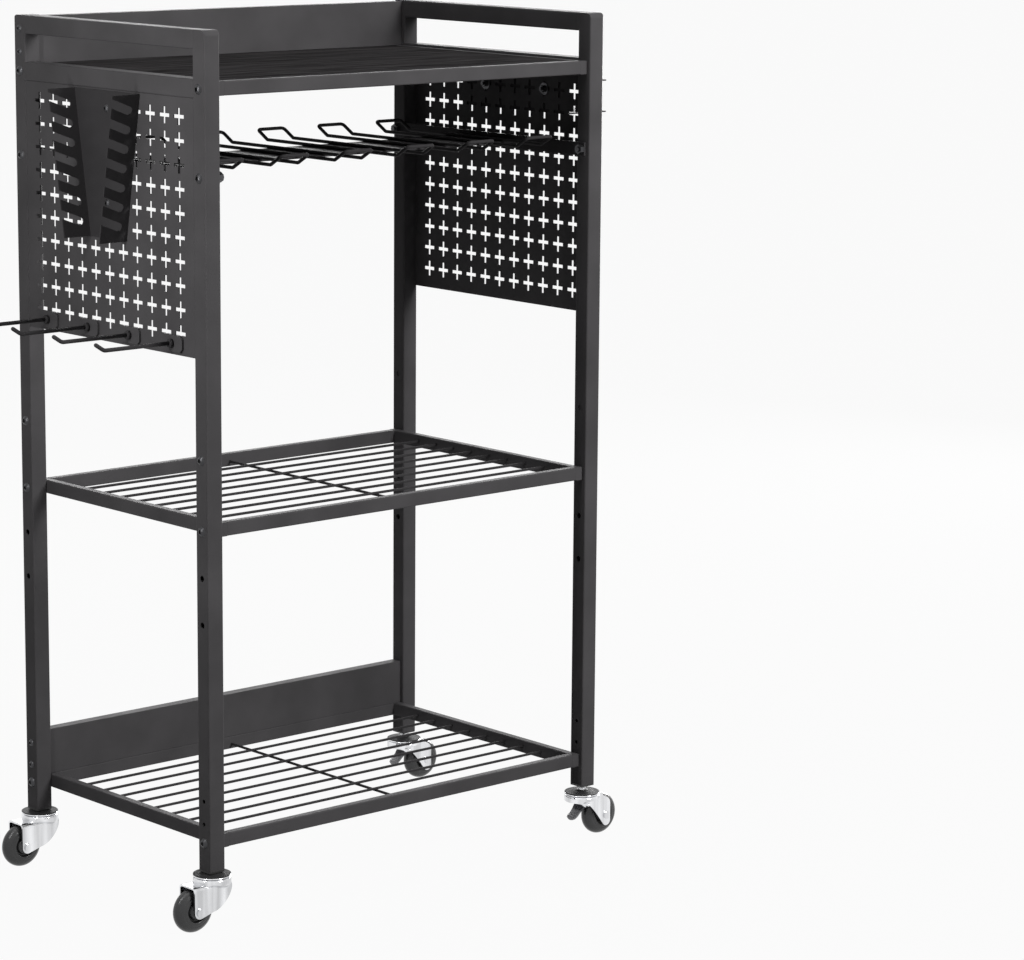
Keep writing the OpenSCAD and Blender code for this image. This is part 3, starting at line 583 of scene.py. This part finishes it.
def swivel_cap(sizes):
    """The fixed upper race: a shallow dish turned about Z, with the riveted king pin under it."""
    base, r = sizes["head"] + 0.4, sizes["head_r"]
    under = [(0.0, -5.6), (4.5, -5.3), (6.3, -4.4), (6.5, -2.8), (4.0, -2.7), (4.0, 0.0)]
    lip = [(r - 2.0, 0.2), (r - 1.6, 1.2), (r - 0.5, 1.6), (r - 0.2, 1.9), (r - 0.3, 2.3), (r - 0.8, 2.5),
           (r - 2.2, 2.5)]
    dish = [(r - 4.6, 2.3), (r - 8.0, 3.2), (r - 11.0, 3.9), (6.6, 4.1), (0.0, 4.1)]
    return lathe(np.concatenate([under, lip, dish]) + [0.0, base], 96)


def cap_rim(sizes):
    """The bright race under the dish's lip: an ellipse in section, turned about Z."""
    angle = np.linspace(0.0, 2.0 * np.pi, 25)
    r = sizes["head_r"] - 1.2 + 1.2 * np.cos(angle)
    return lathe(np.stack([r, sizes["head"] + 1.2 + 0.95 * np.sin(angle)], axis=-1), 96)


def stem(sizes):
    """The bright stem between cap and post: a turned column with a small flare at its foot and three fine rings."""
    base, top = sizes["head"] + STEM_FOOT, sizes["foot"] + 3.0
    h = np.linspace(base, top, 60)
    rings = sum(0.18 * np.exp(-(((h - base - place) / 0.35) ** 2)) for place in (2.6, 3.9, 5.2))
    r = 4.4 + 0.5 * np.exp(-(h - base) / 0.6) - rings
    return lathe(np.concatenate([[(0.0, base)], np.stack([r, h], axis=-1), [(0.0, top)]]), 64)


def stem_shadow_collar(sizes):
    """A black ring round the stem's foot, as painted shadow of the gap there: a low ring with rounded shoulders, turned
    about Z.
    """
    ring = np.array([(4.95, 0.0), (6.6, 0.0), (7.0, 0.3), (7.0, 0.7), (6.6, 1.0), (5.4, 1.0), (4.95, 0.8), (4.95, 0.0)])
    return lathe(ring + [0.0, sizes["head"] + STEM_FOOT], 48)


def tyre_surface(sizes):
    """The tyre: a superellipse of power 2.1 in section, whose sides come in to a narrow bead with a shallow groove."""
    bead, r, w, power = 12.2, sizes["wheel_r"], sizes["wheel_w"] / 2.0, 2.1
    a = np.linspace(0.0, np.pi, 71)
    y = w * np.sign(np.cos(a)) * np.abs(np.cos(a)) ** (2.0 / power)
    rise = np.sin(a) ** (2.0 / power)
    groove = 0.35 * np.exp(-(((rise - 0.34) / 0.05) ** 2)) * np.sign(np.cos(a))
    outer = np.stack([bead + (r - bead) * rise, y - groove], axis=-1)
    inner = [(bead - 0.3, -w + 0.8), (bead - 0.3, -w + 5.0), (bead - 0.3, w - 5.0), (bead - 0.3, w - 0.8), (bead, w)]
    return lathe(np.concatenate([outer, inner]), 96)


def hub_surface(sizes):
    """The hub: a round boss with a rolled edge that nearly reaches the cheeks, on a deep web."""
    w = sizes["wheel_w"] / 2.0
    boss = w + CHEEK_GAP - 0.4
    half = np.array([(3.05, boss), (4.6, boss), (5.2, boss - 0.5), (5.4, w - 0.4), (7.4, w - 0.6), (8.1, w - 1.1),
                     (8.3, w - 2.0), (8.3, w - 5.2), (12.3, w - 5.4)])
    return lathe(np.concatenate([half, half[::-1] * [1.0, -1.0], half[:1]]), 72)


def painted_shade_well_surface(sizes):
    """The well between hub and tyre, black as painted shade in the recess: a channel section turned about the axle, one
    to each side.
    """
    w = sizes["wheel_w"] / 2.0
    half = np.array([(8.4, w - 1.6), (8.6, w - 4.6), (9.4, w - 5.0), (11.2, w - 5.0), (11.8, w - 4.4), (12.1, w - 0.9),
                     (12.5, w - 0.9), (12.5, w - 5.35), (8.2, w - 5.15), (8.2, w - 1.6), (8.4, w - 1.6)])
    return join(lathe(half, 72), lathe(half * [1.0, -1.0], 72))


def pedal_sheet(pin, start, end):
    """A stretch of the brake pedal: a sheet along a bent line in XZ, its width a rounded tongue, ridged at its tip."""
    root, bend, tip = (3.0, 0.0, 0.8), (-10.5, 0.0, -12.6), (-17.4, 0.0, -17.2)
    line = filleted(np.array([root, bend, tip]) + [pin[0], 0.0, pin[1]], 10.0, 14)
    length = np.concatenate([[0.0], np.cumsum(np.linalg.norm(np.diff(line, axis=0), axis=1))])
    s = np.linspace(start * length[-1], end * length[-1], 60)
    x, z = np.interp(s, length, line[:, 0]), np.interp(s, length, line[:, 2])
    along = unit(np.stack([np.gradient(x), np.gradient(z)], axis=-1))
    left = length[-1] - s
    half = 8.6 - 2.0 * smooth_step(6.0, 16.0, s)
    half = half * np.sqrt(np.clip(1.0 - np.clip(1.0 - left / 6.0, 0.0, 1.0) ** 2.6, 0.0004, 1.0))
    ridge = 0.45 * np.sin(left * 2.0 * np.pi / 2.6) * smooth_step(1.5, 2.5, left) * (1.0 - smooth_step(9.0, 10.5, left))
    across = np.linspace(-1.0, 1.0, 15)[None, :]
    lift = ridge[:, None] * (1.0 - across**6)
    points = np.stack([x[:, None] - along[:, 1:] * lift, half[:, None] * across, z[:, None] + along[:, :1] * lift],
                      axis=-1)
    return points.reshape(-1, 3), quads(s.size, across.size).tolist()


# Operators

class CART_OT_finishes(bpy.types.Operator):
    """Makes every finish of the cart and gives it to the frame nodes that keep their shape"""

    bl_idname = "cart.finishes"
    bl_label = "Frame finishes"

    def execute(self, context):
        settings = context.scene.cart
        powder_coat("powder_coat", settings.finish.coat, settings.finish.coat_roughness, specular=0.03)
        # A darker copy of the coat, as painted shade for the wires, rack and holders
        powder_coat("holder_coat", settings.finish.holder_coat, settings.finish.coat_roughness, specular=0.02)
        black_board(settings.finish)
        plated("dark_zinc", settings.finish.zinc, 0.36)
        # The chrome's upright streaks are partly painted dark reflection
        plated("chrome", settings.casters.chrome, 0.10, streak_and_reflection=0.22)
        # Dark cap steel: partly its own colour, partly painted shadow and painted dark reflection
        powder_coat("cap_steel", settings.casters.cap, 0.45, specular=0.06)
        plated("pedal_steel", settings.casters.pedal, 0.32)
        moulded("tyre_rubber", settings.casters.rubber, 0.24, grain=900.0)
        moulded("hub_plastic", settings.casters.hub, 0.42, grain=1100.0)
        moulded("plug_plastic", (0.012, 0.012, 0.012), 0.45, grain=1000.0)
        for node, slot in SLOTS.items():
            coat_node(node, slot)
        # Painted shade: these nodes get the darker copy of the coat
        for node in PAINTED_SHADE_NODES:
            coat_node(node, "holder_coat")
        return {"FINISHED"}


class CART_OT_sheets(bpy.types.Operator):
    """Softens the cut edges of the guards, the tool holders and the top board"""

    bl_idname = "cart.sheets"
    bl_label = "Sheets and board"

    def execute(self, context):
        edge = context.scene.cart.finish.edge
        for node in ("top_guard", "bottom_guard"):
            softened_copy(node, "powder_coat", edge)
        # Painted shade: the tool holders get the darker copy of the coat
        for node in ("wrench_holder", "screwdriver_holder"):
            softened_copy(node, "holder_coat", edge)
        softened_copy("top_board", "board", edge)
        return {"FINISHED"}


class CART_OT_welds(bpy.types.Operator):
    """Fills the joints between the side rails and the posts with dressed weld beads"""

    bl_idname = "cart.welds"
    bl_label = "Frame welds"

    def execute(self, context):
        beads, sunk = [], 0.8 * MM
        for rail in ("top_rail_left", "second_rail_left", "top_rail_right", "second_rail_right"):
            low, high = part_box(rail)
            bead = weld_bead(low[2] + MM, high[2] - MM)
            ends = (low[1] - sunk, high[1] + sunk)
            beads += [(bead[0] + [x, y, 0.0], bead[1]) for x in (low[0], high[0]) for y in ends]
        piece("frame_welds", join(*beads), material("powder_coat"), "frame")
        return {"FINISHED"}


class CART_OT_rack_loops(bpy.types.Operator):
    """Bends the closed wire loops of the tool rack, with turned-up ends and round corners"""

    bl_idname = "cart.rack_loops"
    bl_label = "Rack loops"

    def execute(self, context):
        wires = context.scene.cart.wires
        low, high = (np.array(corner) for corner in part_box("rack_loops"))
        d = wires.rack_wire
        count, width, flat = 6, 37 * MM, 114 * MM
        reach, z0, z1 = high[1] - d / 2.0, low[2] + d / 2.0, high[2] - d / 2.0
        half = width / 2.0
        corners = [(-half, -flat, z0), (-half, flat, z0), (-half, reach, z1), (half, reach, z1),
                   (half, flat, z0), (half, -flat, z0), (half, -reach, z1), (-half, -reach, z1)]
        path = filleted(corners, wires.rack_bend, 9, closed=True)
        places = np.linspace(low[0] + d / 2.0 + half, high[0] - d / 2.0 - half, count)
        loops = [tube(path + [x, 0.0, 0.0], d / 2.0, 16, closed=True) for x in places]
        # Painted shade: the rack wire gets the darker copy of the coat
        piece("rack_loops_wire", join(*loops), material("holder_coat"), "frame", ["rack_loops"])
        return {"FINISHED"}


class CART_OT_hooks(bpy.types.Operator):
    """Bends the panel hooks and presses their base plates"""

    bl_idname = "cart.hooks"
    bl_label = "Panel hooks"

    def execute(self, context):
        wires = context.scene.cart.wires
        low, high = (np.array(corner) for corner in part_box("hooks"))
        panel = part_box("pegboard_left")[0][0]
        count, base_w, base_t, plate_edge = 4, 36 * MM, 2.5 * MM, 0.5 * MM
        tip_run, tip_rise = 10 * MM, 6.5 * MM
        collar_x, collar_r = np.array([0.2, 3.2, 4.0]) * MM, np.array([4.8, 4.8, 4.0]) * MM
        d, middle = wires.hook_wire, (low[2] + high[2]) / 2.0
        tip_x = low[0] + d / 2.0
        line = filleted([(panel - base_t / 2.0, 0.0, middle), (tip_x + tip_run, 0.0, middle),
                         (tip_x, 0.0, middle + tip_rise)], wires.hook_bend, 12)
        run = unit(line[-1:] - line[-2:-1])
        round_over = np.linspace(0.15, 0.5, 6)[:, None] * np.pi
        tip = line[-1:] + run * np.sin(round_over) * d / 2.0 * 0.98
        path = np.concatenate([line, tip])
        radius = np.concatenate([np.full(len(line), d / 2.0), np.maximum(np.cos(round_over[:, 0]), 0.08) * d / 2.0])
        collar = np.stack([panel - base_t - collar_x, 0.0 * collar_x, middle + 0.0 * collar_x], axis=-1)
        places = np.linspace(low[1] + base_w / 2.0, high[1] - base_w / 2.0, count)
        arms = [tube(path + [0.0, y, 0.0], radius, 20) for y in places]
        arms += [tube(collar + [0.0, y, 0.0], collar_r, 24) for y in places]
        # Painted shade: the hook arms get the darker copy of the coat
        piece("hook_arms", join(*arms), material("holder_coat"), "frame", ["hooks"])
        u = np.linspace(-1.0, 1.0, 13)[:, None]
        v = np.linspace(-1.0, 1.0, 9)[None, :]
        tall = (high[2] - low[2]) / 2.0
        inset = 2.2 * MM * (smooth_step(0.80, 1.0, np.abs(u)) * smooth_step(0.62, 1.0, np.abs(v)))
        plate = np.stack([0.0 * u * v + panel - base_t / 2.0, base_w / 2.0 * u - np.sign(u) * inset,
                          middle + tall * v - np.sign(v) * inset], axis=-1)
        faces = quads(u.size, v.size).tolist()
        plates = [(plate.reshape(-1, 3) + [0.0, y, 0.0], faces) for y in places]
        bases = piece("hook_bases", join(*plates), material("powder_coat"), "frame")
        thicken(bases, base_t, plate_edge)
        return {"FINISHED"}


class CART_OT_stems(bpy.types.Operator):
    """Turns the swivel caps with their bright races, and the stems of the casters that show them, each with a black
    collar of painted shadow
    """

    bl_idname = "cart.stems"
    bl_label = "Caster stems"

    def execute(self, context):
        for corner in CORNERS:
            sizes = caster_sizes(corner)
            # Swivel caps: dark steel, partly painted shadow and painted dark reflection
            piece("swivel_cap_" + corner, caster_place(swivel_cap(sizes), sizes), material("cap_steel"), "frame",
                  ["caster_cap_" + corner])
            piece("cap_rim_" + corner, caster_place(cap_rim(sizes), sizes), material("chrome"), "frame")
            if corner not in BRAKED:
                continue
            piece("stem_" + corner, caster_place(stem(sizes), sizes), material("chrome"), "frame")
            # Painted shadow: the black collar stands for the shade round the stem's foot
            piece("stem_collar_" + corner, caster_place(stem_shadow_collar(sizes), sizes), material("plug_plastic"), "frame")
        return {"FINISHED"}


class CART_OT_forks(bpy.types.Operator):
    """Folds the caster forks and presses their swivel heads"""

    bl_idname = "cart.forks"
    bl_label = "Caster forks"

    def execute(self, context):
        casters = context.scene.cart.casters
        for corner in CORNERS:
            sizes = caster_sizes(corner)
            body = "swivel_" + corner
            fork = piece("fork_" + corner, caster_place(fork_sheet(sizes, casters.fold, corner in BRAKED), sizes),
                         material("chrome"), body, ["caster_fork_" + corner])
            thicken(fork, SHEET * MM, SHEET_EDGE * MM)
            head = piece("swivel_head_" + corner, caster_place(head_sheet(sizes, HEAD_FOLD), sizes), material("chrome"),
                         body)
            thicken(head, SHEET * MM, SHEET_EDGE * MM)
        return {"FINISHED"}


class CART_OT_wheels(bpy.types.Operator):
    """Moulds the tyres and hubs"""

    bl_idname = "cart.wheels"
    bl_label = "Wheels"

    def execute(self, context):
        for corner in CORNERS:
            sizes = caster_sizes(corner)
            piece("tyre_" + corner, axle_place(tyre_surface(sizes), sizes), material("tyre_rubber"), "wheel_" + corner,
                  ["wheel_tyre_" + corner])
            piece("hub_" + corner, axle_place(hub_surface(sizes), sizes), material("hub_plastic"), "wheel_" + corner,
                  ["wheel_hub_" + corner])
            # Painted shade: the wells' black plastic stands for the shade in the hub's recess
            piece("hub_wells_" + corner, axle_place(painted_shade_well_surface(sizes), sizes), material("plug_plastic"),
                  "wheel_" + corner)
        return {"FINISHED"}


class CART_OT_pedals(bpy.types.Operator):
    """Presses the brake pedals with their pins"""

    bl_idname = "cart.pedals"
    bl_label = "Brake pedals"

    def execute(self, context):
        for corner in BRAKED:
            sizes = caster_sizes(corner)
            pos = JOINTS["brake_" + corner]["pos_m"]
            pin = ((pos[0] - sizes["axis"][0]) / MM, pos[2] / MM)
            body = "pedal_" + corner
            tongue = piece(body, caster_place(pedal_sheet(pin, 0.46, 1.0), sizes), material("pedal_steel"), body,
                           ["brake_pedal_" + corner])
            thicken(tongue, 2.2 * MM, 0.4 * MM)
            # Painted shade: the pedal's root under the swivel head gets black zinc for the shade there
            arm = piece("pedal_arm_" + corner, caster_place(pedal_sheet(pin, 0.0, 0.47), sizes), material("dark_zinc"),
                        body)
            thicken(arm, 2.0 * MM, 0.4 * MM)
            reach = sizes["wheel_w"] / 2.0 + CHEEK_GAP + SHEET + 1.0
            half = np.array([(0.0, reach), (1.4, reach), (2.0, reach - 0.5), (2.0, 10.0), (3.9, 9.8), (3.9, 0.0)])
            points, faces = lathe(np.concatenate([half, half[-2::-1] * [1.0, -1.0]]), 32)
            points = np.stack([points[:, 0] + pin[0], points[:, 2], points[:, 1] + pin[1]], axis=-1)
            piece("pedal_pin_" + corner, caster_place((points, faces), sizes), material("chrome"), body)
        return {"FINISHED"}


class CART_OT_stage(bpy.types.Operator):
    """Sets up the pale floor, the soft lights and the camera"""

    bl_idname = "cart.stage"
    bl_label = "Studio"

    def execute(self, context):
        scene, settings = context.scene, context.scene.cart.stage
        scene.view_settings.view_transform = "Standard"
        floor_points = np.array([(-30.0, -30.0, 0.0), (30.0, -30.0, 0.0), (30.0, 30.0, 0.0), (-30.0, 30.0, 0.0)])
        mesh = bpy.data.meshes.new("floor")
        mesh.from_pydata(floor_points.tolist(), [], [[0, 1, 2, 3]])
        mesh.materials.append(self.floor_finish(settings.floor))
        floor = bpy.data.objects.new("floor", mesh)
        scene.collection.objects.link(floor)
        self.room(scene, settings.ambient)
        self.soft_light("key_light", (0.7, -2.4, 1.8), (-0.1, 0.0, 0.8), (0.8, 1.2), settings.key)
        self.soft_light("top_light", (-0.2, -0.4, 3.2), (0.0, 0.0, 0.5), (2.4, 2.4), settings.top)
        self.soft_light("side_light", (-0.85, -0.17, 0.88), (-0.27, -0.17, 0.78), (0.06, 0.8), settings.side)
        self.soft_light("back_light", (1.5, 2.2, 1.15), (-0.1, 0.0, 0.9), (2.0, 0.5), settings.back)
        self.soft_light("fill_light", (2.8, 1.0, 1.1), (0.2, 0.1, 0.6), (1.2, 1.2), settings.fill)
        self.camera(scene)
        return {"FINISHED"}

    @staticmethod
    def floor_finish(colour):
        """Pale floor that the camera sees mostly as plain white, with the object's faint shadow kept."""
        made = bpy.data.materials.new("floor")
        made.use_nodes = True
        tree = made.node_tree
        tree.nodes.clear()
        out = tree.nodes.new("ShaderNodeOutputMaterial")
        mix = tree.nodes.new("ShaderNodeMixShader")
        pale = add(tree, "ShaderNodeBsdfDiffuse", Color=(*colour, 1.0))
        white = add(tree, "ShaderNodeEmission", Color=(1.0, 1.0, 1.0, 1.0), Strength=1.0)
        share = add(tree, "ShaderNodeMath")
        share.operation = "MULTIPLY"
        share.inputs[1].default_value = 0.95
        tree.links.new(seen_rays(tree), share.inputs[0])
        tree.links.new(share.outputs[0], mix.inputs["Fac"])
        tree.links.new(pale.outputs[0], mix.inputs[1])
        tree.links.new(white.outputs[0], mix.inputs[2])
        tree.links.new(mix.outputs[0], out.inputs["Surface"])
        return made

    @staticmethod
    def room(scene, ambient):
        """White to the camera and in polished metal, and a low even fill for everything else."""
        world = bpy.data.worlds.new("room")
        scene.world = world
        world.use_nodes = True
        tree = world.node_tree
        tree.nodes.clear()
        out = tree.nodes.new("ShaderNodeOutputWorld")
        mix = tree.nodes.new("ShaderNodeMixShader")
        fill = add(tree, "ShaderNodeBackground", Color=(1.0, 1.0, 1.0, 1.0), Strength=ambient)
        white = add(tree, "ShaderNodeBackground", Color=(1.0, 1.0, 1.0, 1.0), Strength=1.0)
        tree.links.new(seen_rays(tree), mix.inputs["Fac"])
        tree.links.new(fill.outputs[0], mix.inputs[1])
        tree.links.new(white.outputs[0], mix.inputs[2])
        tree.links.new(mix.outputs[0], out.inputs["Surface"])

    @staticmethod
    def soft_light(name, place, target, size, power):
        """A soft light of a width and a height at a place, facing a target and unseen itself."""
        data = bpy.data.lights.new(name, "AREA")
        data.energy = power
        data.shape = "RECTANGLE"
        data.size, data.size_y = size
        light = bpy.data.objects.new(name, data)
        light.visible_camera = False
        bpy.context.scene.collection.objects.link(light)
        back = unit(np.array(place, float) - np.array(target, float))
        right = unit(np.cross([0.0, 0.001, 1.0], back))
        up = np.cross(back, right)
        light.matrix_world = Matrix([[right[i], up[i], back[i], place[i]] for i in range(3)] + [[0, 0, 0, 1]])

    @staticmethod
    def camera(scene):
        """The photograph's view: turned and raised round the cart, then rolled about the line of sight."""
        data = bpy.data.cameras.new("camera")
        data.sensor_width = 36.0
        data.lens = 127.89
        turn, rise, roll = (math.radians(a) for a in (-41.825, 10.593, 0.460))
        back = np.array([math.sin(turn) * math.cos(rise), -math.cos(turn) * math.cos(rise), math.sin(rise)])
        right = np.array([math.cos(turn), math.sin(turn), 0.0])
        up = np.cross(back, right)
        right, up = math.cos(roll) * right + math.sin(roll) * up, math.cos(roll) * up - math.sin(roll) * right
        place = (-2.5105, -3.1385, 1.1811)
        cam = bpy.data.objects.new("camera", data)
        scene.collection.objects.link(cam)
        cam.matrix_world = Matrix([[right[i], up[i], back[i], place[i]] for i in range(3)] + [[0, 0, 0, 1]])
        data.clip_start, data.clip_end = 0.05, 200.0
        scene.camera = cam


class CART_PT_panel(bpy.types.Panel):
    """The cart's settings and operators"""

    bl_idname = "CART_PT_panel"
    bl_label = "Rolling tool cart"
    bl_space_type = "VIEW_3D"
    bl_region_type = "UI"
    bl_category = "Tool Cart"

    def draw(self, context):
        settings = context.scene.cart
        for group in (settings.finish, settings.wires, settings.casters, settings.stage):
            box = self.layout.box()
            for name in group.__annotations__:
                box.prop(group, name)
        for operator in OPERATORS:
            self.layout.operator(operator.bl_idname)


OPERATORS = (CART_OT_stage, CART_OT_finishes, CART_OT_sheets, CART_OT_welds, CART_OT_rack_loops, CART_OT_hooks,
             CART_OT_stems, CART_OT_forks, CART_OT_wheels, CART_OT_pedals)
CLASSES = (CoatSettings, WireSettings, CasterSettings, StageSettings, CartSettings, *OPERATORS, CART_PT_panel)


def register():
    """Registers the classes and hangs the settings on the scene."""
    for cls in CLASSES:
        bpy.utils.register_class(cls)
    bpy.types.Scene.cart = PointerProperty(type=CartSettings)


def unregister():
    """Takes the settings and the classes away again."""
    del bpy.types.Scene.cart
    for cls in reversed(CLASSES):
        bpy.utils.unregister_class(cls)


def main():
    """Runs every operator in order."""
    register()
    bpy.ops.cart.stage()
    bpy.ops.cart.finishes()
    bpy.ops.cart.sheets()
    bpy.ops.cart.welds()
    bpy.ops.cart.rack_loops()
    bpy.ops.cart.hooks()
    bpy.ops.cart.stems()
    bpy.ops.cart.forks()
    bpy.ops.cart.wheels()
    bpy.ops.cart.pedals()


if __name__ == "__main__":
    main()
